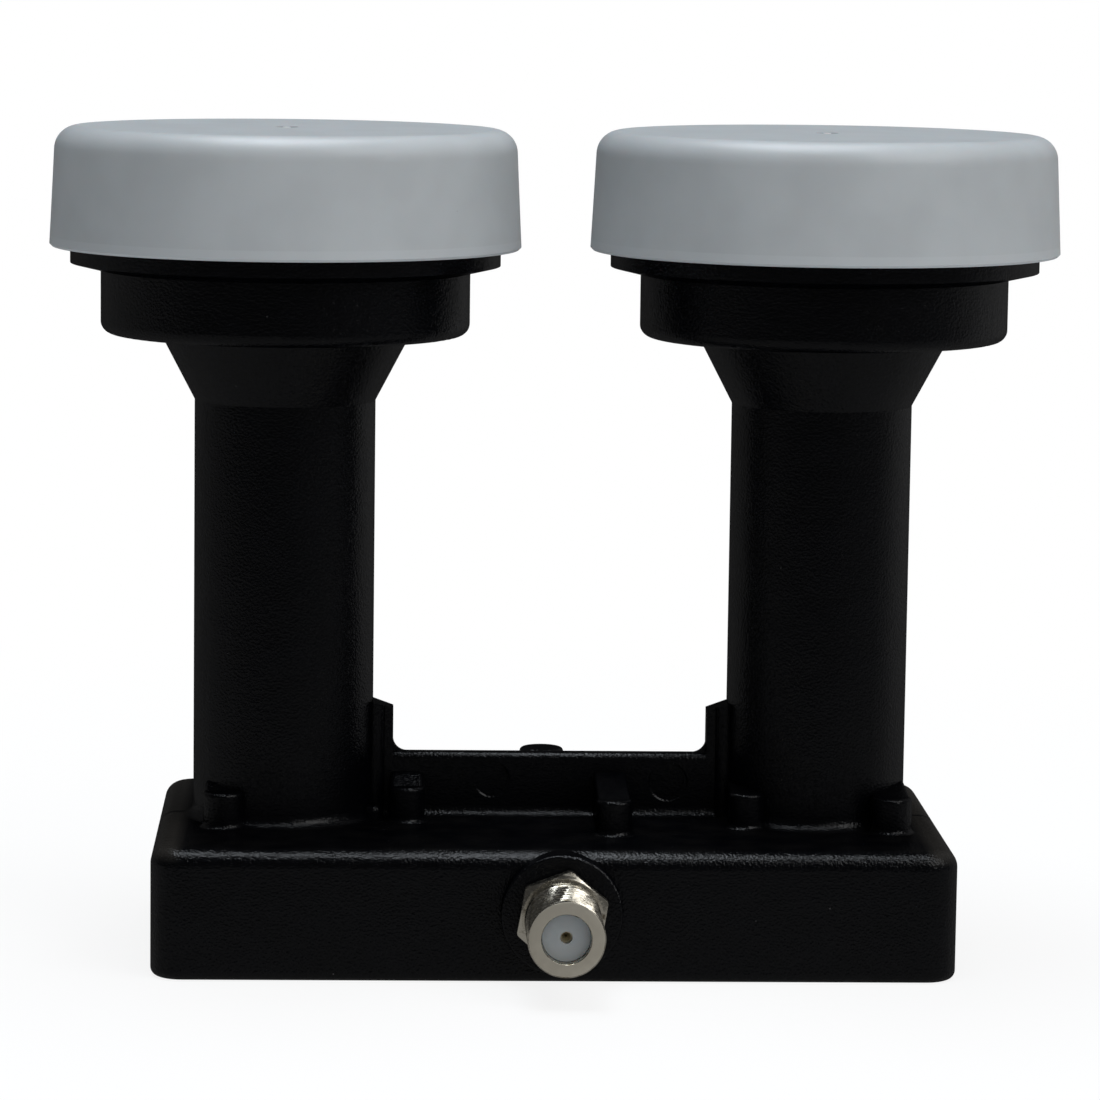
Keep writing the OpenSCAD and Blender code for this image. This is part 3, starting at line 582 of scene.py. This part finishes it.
def turned_tree():
    """Rolls a flat sheet about the Z axis and cuts a helical thread where its attribute asks for one.

    The sheet's X is the radius, its Y the share of a turn and its Z the height.
    """
    if "Turned and threaded" in bpy.data.node_groups:
        return bpy.data.node_groups["Turned and threaded"]
    tree, given, result = geometry_tree(
        "Turned and threaded", ("Pitch", "Depth", "Crest share", "Root share"),
        (("Material", "NodeSocketMaterial"),))
    sheet, pitch, deepest, crest, root = (
        given.outputs[label] for label in ("Geometry", "Pitch", "Depth", "Crest share", "Root share"))
    # Whole turns that keep the phase above zero
    ahead = 64.0
    at = axes(tree, tree.nodes.new("GeometryNodeInputPosition").outputs[0])
    turns = maths(tree, "SUBTRACT", maths(tree, "DIVIDE", at["Z"], pitch), at["Y"])
    phase = maths(tree, "FRACT", maths(tree, "ADD", turns, ahead))
    off_crest = times(tree, maths(tree, "ABSOLUTE", maths(tree, "SUBTRACT", phase, 0.5)), 2.0)
    flank = maths(tree, "SUBTRACT", maths(tree, "SUBTRACT", 1.0, crest), root)
    groove = maths(tree, "DIVIDE", maths(tree, "SUBTRACT", off_crest, crest), flank, True)
    cut = add(tree, "GeometryNodeInputNamedAttribute", {"Name": "cut"}, data_type="FLOAT")
    depth = times(tree, times(tree, groove, deepest), cut.outputs["Attribute"])
    radius = maths(tree, "SUBTRACT", at["X"], depth)
    angle = times(tree, at["Y"], math.tau)
    rolled = add(tree, "ShaderNodeCombineXYZ", {
        "X": times(tree, radius, maths(tree, "COSINE", angle)),
        "Y": times(tree, radius, maths(tree, "SINE", angle)),
        "Z": at["Z"]})
    moved = add(tree, "GeometryNodeSetPosition", {"Geometry": sheet, "Position": rolled.outputs[0]})
    merged = add(tree, "GeometryNodeMergeByDistance", {"Geometry": moved.outputs[0], "Distance": 1e-6})
    return end_tree(tree, merged.outputs[0], given, result)


def turned(name, profile, material, segments, pitch=1.0, depth=0.0):
    """Mesh turned about Z from (radius, height, thread share) stations, by the Geometry Nodes tree."""
    mesh = bpy.data.meshes.new(name)
    points = [(r, j / segments, z) for r, z, _ in profile for j in range(segments + 1)]
    row = segments + 1
    faces = [(i * row + j, i * row + j + 1, (i + 1) * row + j + 1, (i + 1) * row + j)
             for i in range(len(profile) - 1) for j in range(segments)]
    mesh.from_pydata(points, [], faces)
    cut = mesh.attributes.new("cut", "FLOAT", "POINT")
    cut.data.foreach_set("value", [share for _, _, share in profile for _ in range(row)])
    carrier = placed(name, mesh)
    modifier = carrier.modifiers.new("Turn", "NODES")
    modifier.node_group = turned_tree()
    set_inputs(modifier, {"Pitch": pitch, "Depth": depth, "Crest share": 0.16, "Root share": 0.2,
                          "Material": material})
    result = applied(carrier)
    close_and_face_out(result)
    return result


def screw_set_tree():
    """Stands one screw on each point, each turned by its own random angle."""
    if "Screw set" in bpy.data.node_groups:
        return bpy.data.node_groups["Screw set"]
    tree, given, result = geometry_tree(
        "Screw set", (),
        (("Screw", "NodeSocketObject"), ("Seed", "NodeSocketInt"), ("Material", "NodeSocketMaterial")))
    points = add(tree, "GeometryNodeMeshToPoints", {"Mesh": given.outputs["Geometry"]})
    screw = add(tree, "GeometryNodeObjectInfo", {"Object": given.outputs["Screw"]})
    turn = add(tree, "FunctionNodeRandomValue", {"Min": (0.0, 0.0, 0.0), "Max": (0.0, 0.0, math.tau),
                                                  "Seed": given.outputs["Seed"]}, data_type="FLOAT_VECTOR")
    stood = add(tree, "GeometryNodeInstanceOnPoints", {
        "Points": points.outputs[0], "Instance": screw.outputs["Geometry"], "Rotation": turn.outputs[0]})
    return end_tree(tree, stood.outputs[0], given, result)


# Connector

def connector_axis():
    """Move of a piece made along Z onto the connector's axis, foot at its front, and its length."""
    low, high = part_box("connector_shell")
    centre = Vector(((low.x + high.x) / 2, low.y, 0.0))
    insulator_low, insulator_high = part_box("connector_insulator")
    centre.x = (insulator_low.x + insulator_high.x) / 2
    centre.z = (insulator_low.z + insulator_high.z) / 2
    return Matrix.Translation(centre) @ Matrix.Rotation(math.radians(-90), 4, "X"), high.y - low.y


def barrel_profile(barrel_length, total_length, settings):
    """Stations of the connector's barrel from its bore, over the front ring and the thread, to its tail."""
    lead = 0.16 * MM
    ring_edge = 0.10 * MM
    plain_end = 2.4 * MM
    runout = 0.5 * MM
    step = settings.thread_pitch / 12
    stations = [(BORE_R, total_length, 0.0), (BORE_R, 0.25 * MM, 0.0), (BORE_R + 0.04 * MM, 0.08 * MM, 0.0),
                (BORE_R + 0.12 * MM, 0.0, 0.0), (CREST_R - lead - ring_edge, 0.0, 0.0),
                (CREST_R - lead, 0.03 * MM, 0.0)]
    start, end = lead, barrel_length - plain_end
    count = int((end - start) / step)
    for i in range(count + 1):
        z = start + (end - start) * i / count
        share = min(1.0, (z - start) / runout, (end - z) / runout)
        stations.append((CREST_R, z, max(0.0, share)))
    stations += [(CREST_R, barrel_length + 0.3 * MM, 0.0), (TAIL_R, barrel_length + 1.0 * MM, 0.0),
                 (TAIL_R, total_length, 0.0), (BORE_R, total_length, 0.0)]
    return stations


def contact_place():
    """Move of a piece made along Z onto the contact's axis, its foot at the contact's front end."""
    low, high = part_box("connector_contact")
    centre = Vector(((low.x + high.x) / 2, low.y, (low.z + high.z) / 2))
    return Matrix.Translation(centre) @ Matrix.Rotation(math.radians(-90), 4, "X")


def clip_profile():
    """Stations of the contact: its pin, its sleeve and the conical mouth for the centre conductor."""
    low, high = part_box("connector_contact")
    length = high.y - low.y
    sleeve_r = (high.x - low.x) / 2
    pin_r = 0.45 * MM
    hole_r, hole_depth = 0.14 * MM, 3.0 * MM
    mouth_r = 0.55 * MM
    sleeve_end = length - 5.1 * MM
    return [(0.0, length, 0.0), (pin_r, length, 0.0), (pin_r, sleeve_end, 0.0), (sleeve_r, sleeve_end, 0.0),
            (sleeve_r, 0.05 * MM, 0.0), (sleeve_r - 0.05 * MM, 0.0, 0.0), (mouth_r, 0.0, 0.0),
            (hole_r, mouth_r, 0.0), (hole_r, hole_depth, 0.0), (0.0, hole_depth, 0.0)]


def hexagon_mesh(across_flats, low_z, high_z, turn, hole_r):
    """Hexagon with a turned chamfer on its front corners, as a ring round the barrel."""
    work = bmesh.new()
    face_inset, corner_cut, chamfer = 0.12 * MM, 0.08 * MM, math.radians(28)
    flat_r = across_flats / 2
    face_r = flat_r - face_inset
    corner_r = flat_r / math.cos(math.pi / 6) - corner_cut
    slope = math.tan(chamfer)
    segments = 120
    rings = []
    for level in ("hole_low", "face", "rim", "back", "hole_high"):
        ring = []
        for i in range(segments):
            angle = math.tau * i / segments
            from_flat = (angle - turn) % (math.pi / 3) - math.pi / 6
            edge_r = min(flat_r / math.cos(from_flat), corner_r)
            radius = {"hole_low": hole_r, "face": face_r, "hole_high": hole_r}.get(level, edge_r)
            rim_z = low_z + (edge_r - face_r) * slope
            z = {"hole_low": low_z, "face": low_z, "rim": rim_z}.get(level, high_z)
            ring.append(work.verts.new((radius * math.cos(angle), radius * math.sin(angle), z)))
        rings.append(ring)
    rings.append(rings[0])
    for lower, upper in zip(rings, rings[1:]):
        for i in range(segments):
            j = (i + 1) % segments
            work.faces.new((lower[i], lower[j], upper[j], upper[i]))
    bmesh.ops.recalc_face_normals(work, faces=work.faces)
    mesh = bpy.data.meshes.new("connector_hexagon")
    work.to_mesh(mesh)
    work.free()
    return mesh


class LNB_OT_connector(Operator):
    """Make the coax connector's threaded shell and dress its insulator, contact and washer"""
    bl_idname = "lnb.connector"
    bl_label = "Coax connector"

    def execute(self, context):
        settings = context.scene.lnb_connector
        place, total = connector_axis()
        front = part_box("connector_shell")[0].y
        hexagon_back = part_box("connector_seal")[0].y - front
        barrel_length = hexagon_back - HEX_DEPTH
        nickel = nickel_material(settings, "Worn nickel plate", level=1.75, tarnish_from=0.50)
        wrench_flats = nickel_material(settings, "Nickel wrench flats", level=2.1, tarnish_from=0.56)
        matte = matte_nickel_material(settings)
        barrel = turned("connector_barrel", barrel_profile(barrel_length, total, settings), nickel,
                        settings.thread_segments, settings.thread_pitch, settings.thread_depth)
        barrel.transform(place)
        shell = finished("connector_barrel", barrel, [nickel, matte])
        # The front ring's faces get the matte plating
        for face in barrel.polygons:
            if face.normal.y < -0.9 and face.center.y < front + 0.05 * MM:
                face.material_index = 1
        hexagon = hexagon_mesh(HEX_FLATS, barrel_length, hexagon_back, HEX_TURN, HEX_HOLE_R)
        hexagon.transform(place)
        nut = finished("connector_hexagon", hexagon, [wrench_flats], smooth_angle=20.0)
        for piece in (shell, nut):
            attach(piece, "root")
            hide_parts("connector_shell")
        dress("connector_insulator", grained_material(
            "Pale insulator plastic", (0.225, 0.238, 0.240), 0.45, size=0.25 * MM, depth=0.004 * MM,
            spread=0.05, Subsurface_Weight=0.15, Subsurface_Scale=0.5 * MM))
        brass = metal_material(
            "Dull brass", (0.62, 0.55, 0.38), roughness=0.42, fineness=5000.0, stretch=0.2)
        clip = turned("connector_clip", clip_profile(), brass, segments=48)
        clip.transform(contact_place())
        clip = finished("connector_clip", clip, [brass])
        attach(clip, "root")
        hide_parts("connector_contact")
        dress("connector_seal", rubber_material())
        return {"FINISHED"}


def rubber_material():
    """One black rubber for all seals."""
    if "Black rubber" in bpy.data.materials:
        return bpy.data.materials["Black rubber"]
    return grained_material(
        "Black rubber", (0.014, 0.014, 0.014), roughness=0.62, size=0.2 * MM, depth=0.01 * MM)


class LNB_OT_housing(Operator):
    """Coat the casting with its black powder coat"""
    bl_idname = "lnb.housing"
    bl_label = "Casting"

    def execute(self, context):
        dress("housing", coat_material(context.scene.lnb_coat))
        return {"FINISHED"}


class LNB_OT_caps(Operator):
    """Dress the two pale caps and the seal rings under them"""
    bl_idname = "lnb.caps"
    bl_label = "Feed caps"

    def execute(self, context):
        low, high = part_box("feed_cap_right")
        material = cap_material(context.scene.lnb_cap, low.z, abs(low.x + high.x) / 2)
        for side in ("left", "right"):
            dress("feed_cap_" + side, material)
            dress("cap_seal_" + side, rubber_material())
        return {"FINISHED"}


class LNB_OT_cover(Operator):
    """Dress the base cover and stand its screws in their holes"""
    bl_idname = "lnb.cover"
    bl_label = "Base cover"

    def execute(self, context):
        settings = context.scene.lnb_cover
        dress("base_cover", metal_material(
            "Bare sheet", settings.colour, roughness=0.34, fineness=2600.0, stretch=0.02))
        dress("cover_gasket", rubber_material())
        steel = steel_material()
        screws = screw_set(settings, steel)
        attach(screws, "root")
        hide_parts("cover_screws")
        return {"FINISHED"}


def steel_material():
    """One plated steel for all screws."""
    if "Plated steel" in bpy.data.materials:
        return bpy.data.materials["Plated steel"]
    return metal_material(
        "Plated steel", (0.58, 0.57, 0.53), roughness=0.28, fineness=6000.0, stretch=0.3)


def screw_set(settings, material):
    """The cover's four screws: one turned screw with a cross recess, stood on four points."""
    low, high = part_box("cover_screws")
    head_r = 2.1 * MM
    shaft_r = 1.2 * MM
    head_h = 1.2 * MM
    step = 0.045 * MM
    runout = 0.3 * MM
    tip = 0.6 * MM
    stations = [(0.0, low.z, 0.0), (head_r * 0.45, low.z + 0.01 * MM, 0.0),
                (head_r * 0.8, low.z + 0.07 * MM, 0.0), (head_r - 0.08 * MM, low.z + 0.26 * MM, 0.0),
                (head_r, low.z + 0.42 * MM, 0.0), (head_r, low.z + head_h, 0.0),
                (shaft_r, low.z + head_h, 0.0)]
    start, end = low.z + head_h + runout, high.z - tip
    count = int((end - start) / step)
    for i in range(count + 1):
        z = start + (end - start) * i / count
        share = min(1.0, (z - start) / runout, (end - z) / runout)
        stations.append((shaft_r, z, max(0.0, share)))
    stations += [(shaft_r * 0.7, high.z, 0.0), (0.0, high.z, 0.0)]
    body = turned("screw_body", stations, material, segments=40, pitch=0.45 * MM, depth=0.22 * MM)
    template = placed("screw_template", body)
    cutter = placed("screw_recess", recess_mesh(
        settings.recess_width, reach=head_r * 0.62, face_z=low.z, depth=0.65 * MM))
    cut = template.modifiers.new("Recess", "BOOLEAN")
    cut.operation = "DIFFERENCE"
    cut.solver = "EXACT"
    cut.object = cutter
    body = applied(template)
    bpy.data.objects.remove(cutter)
    template = placed("screw_template", body)
    points = bpy.data.meshes.new("screw_places")
    points.from_pydata([(x, y, 0.0) for x in (low.x + head_r, high.x - head_r)
                        for y in (low.y + head_r, high.y - head_r)], [], [])
    carrier = placed("screw_places", points)
    modifier = carrier.modifiers.new("Stand", "NODES")
    modifier.node_group = screw_set_tree()
    set_inputs(modifier, {"Screw": template, "Seed": settings.turn_seed, "Material": material})
    result = applied(carrier)
    bpy.data.objects.remove(template)
    return finished("cover_screw_set", result, [material], smooth_angle=30.0)


def recess_mesh(width, reach, face_z, depth):
    """Cross-shaped punch that narrows as it goes in."""
    outline = []
    for quarter in range(4):
        turn = math.pi / 2 * quarter
        for x, y in ((width / 2, width / 2), (width / 2, reach), (-width / 2, reach)):
            outline.append((x * math.cos(turn) - y * math.sin(turn),
                            x * math.sin(turn) + y * math.cos(turn)))
    work = bmesh.new()
    rings = []
    for z, share in ((face_z - 0.5 * MM, 1.0), (face_z, 1.0), (face_z + depth, 0.6)):
        rings.append([work.verts.new((x * share, y * share, z)) for x, y in outline])
    count = len(outline)
    for lower, upper in zip(rings, rings[1:]):
        for i in range(count):
            j = (i + 1) % count
            work.faces.new((lower[i], lower[j], upper[j], upper[i]))
    work.faces.new(rings[0])
    work.faces.new(rings[-1])
    bmesh.ops.recalc_face_normals(work, faces=work.faces)
    mesh = bpy.data.meshes.new("screw_recess")
    work.to_mesh(mesh)
    work.free()
    return mesh


class LNB_OT_inside(Operator):
    """Dress the shield, the circuit board and what it carries"""
    bl_idname = "lnb.inside"
    bl_label = "Inner pieces"

    def execute(self, context):
        steel = steel_material()
        epoxy = grained_material("Moulded epoxy", (0.020, 0.020, 0.021), 0.50)
        dressing = {
            "rf_shield": grained_material("Bare casting", (0.50, 0.51, 0.53), 0.46, size=0.35 * MM,
                                          depth=0.012 * MM, Metallic=1.0),
            "shield_screws": steel,
            "tuning_screw_low_band": steel,
            "tuning_screw_high_band": steel,
            "circuit_board": board_material(),
            "input_amplifiers": epoxy,
            "mixer_chip": epoxy,
            "output_amplifier": epoxy,
            "switch_controller": epoxy,
            "voltage_regulator": epoxy,
            "supply_capacitors": grained_material("Tan epoxy", (0.52, 0.31, 0.06), 0.42),
            "supply_choke": grained_material("Bare ferrite", (0.035, 0.035, 0.038), 0.55),
            "resonator_low_band": grained_material("Fired ceramic", (0.60, 0.46, 0.30), 0.60),
        }
        dressing["resonator_high_band"] = dressing["resonator_low_band"]
        for node, material in dressing.items():
            dress(node, material)
        return {"FINISHED"}


# Stage

def sees_backdrop(tree):
    """1 for rays that see the background itself: from the camera, by gloss or through clear matter."""
    path = tree.nodes.new("ShaderNodeLightPath").outputs
    seen = maths(tree, "MAXIMUM", path["Is Camera Ray"], path["Is Glossy Ray"])
    return maths(tree, "MAXIMUM", seen, path["Is Transmission Ray"])


def floor_material(settings):
    """White glow with some matte floor near the part for the camera, dim for gloss, matte for the rest."""
    made = bpy.data.materials.new("Pale floor")
    made.use_nodes = True
    tree = made.node_tree
    tree.nodes.clear()
    cloud = noise(tree, tree.nodes.new("ShaderNodeTexCoord").outputs["Object"], 3.0)
    colour = blend_colour(tree, cloud, rgba(settings.floor_colour), rgba(settings.floor_colour, 0.98))
    matte = add(tree, "ShaderNodeBsdfDiffuse", {"Color": colour})
    is_camera = tree.nodes.new("ShaderNodeLightPath").outputs["Is Camera Ray"]
    place = tree.nodes.new("ShaderNodeNewGeometry").outputs["Position"]
    at = axes(tree, place)
    before = remap(tree, at["Y"], -0.45, -0.05, 0.05, 0.25)
    behind = remap(tree, at["X"], 0.0, 0.5, 0.18, 0.40)
    mirrored = blend(tree, remap(tree, at["Y"], -0.02, 0.06), before, behind)
    strength = blend(tree, is_camera, mirrored, 1.0)
    glow = add(tree, "ShaderNodeEmission", {"Color": WHITE, "Strength": strength})
    from_part = add(tree, "ShaderNodeVectorMath", {0: place}, operation="LENGTH").outputs["Value"]
    whiter = remap(tree, from_part, 0.08, 0.26, 0.86, 1.0)
    share = blend(tree, is_camera, sees_backdrop(tree), whiter)
    mixed = add(tree, "ShaderNodeMixShader", {0: share, 1: matte.outputs[0], 2: glow.outputs[0]})
    output = tree.nodes.new("ShaderNodeOutputMaterial")
    tree.links.new(mixed.outputs[0], output.inputs["Surface"])
    return made


def make_world():
    """White for the camera, a dim room for gloss, and light mainly from the front right for the rest."""
    world = bpy.data.worlds.new("Studio")
    bpy.context.scene.world = world
    world.use_nodes = True
    tree = world.node_tree
    tree.nodes.clear()
    path = tree.nodes.new("ShaderNodeLightPath").outputs
    direction = tree.nodes.new("ShaderNodeTexCoord").outputs["Generated"]
    to = axes(tree, direction)
    side = remap(tree, to["X"], 0.0, 0.6, 0.12, 0.24)
    off_centre = remap(tree, maths(tree, "ABSOLUTE", to["X"]), 0.1, 0.5, 0.35, 1.0)
    behind = times(tree, off_centre, remap(tree, to["Y"], -0.20, 0.40, 0.3, 1.0))
    room = times(tree, side, behind)
    front_right = (0.57, -0.82, 0.0)
    front = add(tree, "ShaderNodeVectorMath", {0: direction, 1: front_right},
                operation="DOT_PRODUCT").outputs["Value"]
    ambient = remap(tree, front, 0.0, 1.0, 0.02, 1.0)
    gloss = maths(tree, "MAXIMUM", path["Is Glossy Ray"], path["Is Transmission Ray"])
    level = blend(tree, gloss, ambient, room)
    seen = blend(tree, path["Is Camera Ray"], level, 1.0)
    background = add(tree, "ShaderNodeBackground", {"Color": WHITE, "Strength": seen})
    output = tree.nodes.new("ShaderNodeOutputWorld")
    tree.links.new(background.outputs[0], output.inputs["Surface"])


def area_lamp(name, place, aim, width, height, power, colour):
    """Rectangular lamp at a place, turned toward what it aims at."""
    data = bpy.data.lights.new(name, "AREA")
    data.shape = "RECTANGLE"
    data.size = width
    data.size_y = height
    data.energy = power
    data.color = colour
    lamp = placed(name, data)
    lamp.location = place
    lamp.rotation_mode = "QUATERNION"
    lamp.rotation_quaternion = (Vector(aim) - Vector(place)).to_track_quat("-Z", "Y")


def make_camera(settings):
    """Camera at the photograph's place, looking slightly to the right and down."""
    yaw, pitch, roll = -0.040, 0.1292, 0.0130
    side_step = -0.269 * MM
    right = Vector((math.cos(yaw), math.sin(yaw), 0.0))
    away = Vector((-math.sin(yaw), math.cos(yaw), 0.0))
    up = Vector((0.0, 0.0, 1.0))
    forward = away * math.cos(pitch) - up * math.sin(pitch)
    upright = away * math.sin(pitch) + up * math.cos(pitch)
    across = right * math.cos(roll) + upright * math.sin(roll)
    along = upright * math.cos(roll) - right * math.sin(roll)
    data = bpy.data.cameras.new("Camera")
    data.sensor_fit = "HORIZONTAL"
    data.sensor_width = 36.0
    data.lens = settings.lens
    data.clip_start = 0.05
    data.clip_end = 20.0
    camera = placed("Camera", data)
    place = right * side_step - away * settings.camera_distance + up * settings.camera_height
    camera.matrix_world = Matrix((
        (across.x, along.x, -forward.x, place.x),
        (across.y, along.y, -forward.y, place.y),
        (across.z, along.z, -forward.z, place.z),
        (0.0, 0.0, 0.0, 1.0)))
    bpy.context.scene.camera = camera


class LNB_OT_stage(Operator):
    """Set up the floor, the background, the lamps and the camera"""
    bl_idname = "lnb.stage"
    bl_label = "Studio"

    def execute(self, context):
        settings = context.scene.lnb_stage
        context.scene.view_settings.view_transform = "Standard"
        half = 6.0
        mesh = bpy.data.meshes.new("floor")
        mesh.from_pydata([(-half, -half, 0.0), (half, -half, 0.0), (half, half, 0.0), (-half, half, 0.0)], [],
                         [(0, 1, 2, 3)])
        floor = placed("floor", mesh)
        mesh.materials.append(floor_material(settings))
        make_world()
        for name, place, aim, width, height, power, colour in LAMPS:
            area_lamp(name, place, aim, width, height, power * settings.lamp_level, colour)
        make_camera(settings)
        return {"FINISHED"}


class LNB_PT_sidebar(Panel):
    """Settings and steps of the feed head"""
    bl_idname = "LNB_PT_sidebar"
    bl_label = "Feed head"
    bl_space_type = "VIEW_3D"
    bl_region_type = "UI"
    bl_category = "Feed head"

    def draw(self, context):
        for name, group in SETTINGS.items():
            box = self.layout.box()
            box.label(text=group.__doc__)
            for key in group.__annotations__:
                box.prop(getattr(context.scene, name), key)
        for operator in OPERATORS:
            self.layout.operator(operator.bl_idname)


OPERATORS = (LNB_OT_housing, LNB_OT_caps, LNB_OT_connector, LNB_OT_cover, LNB_OT_inside, LNB_OT_stage)
CLASSES = (*SETTINGS.values(), *OPERATORS, LNB_PT_sidebar)


def register():
    for item in CLASSES:
        bpy.utils.register_class(item)
    for name, group in SETTINGS.items():
        setattr(bpy.types.Scene, name, PointerProperty(type=group))


def unregister():
    for name in SETTINGS:
        delattr(bpy.types.Scene, name)
    for item in reversed(CLASSES):
        bpy.utils.unregister_class(item)


def main():
    register()
    bpy.ops.lnb.housing()
    bpy.ops.lnb.caps()
    bpy.ops.lnb.connector()
    bpy.ops.lnb.cover()
    bpy.ops.lnb.inside()
    bpy.ops.lnb.stage()


if __name__ == "__main__":
    main()
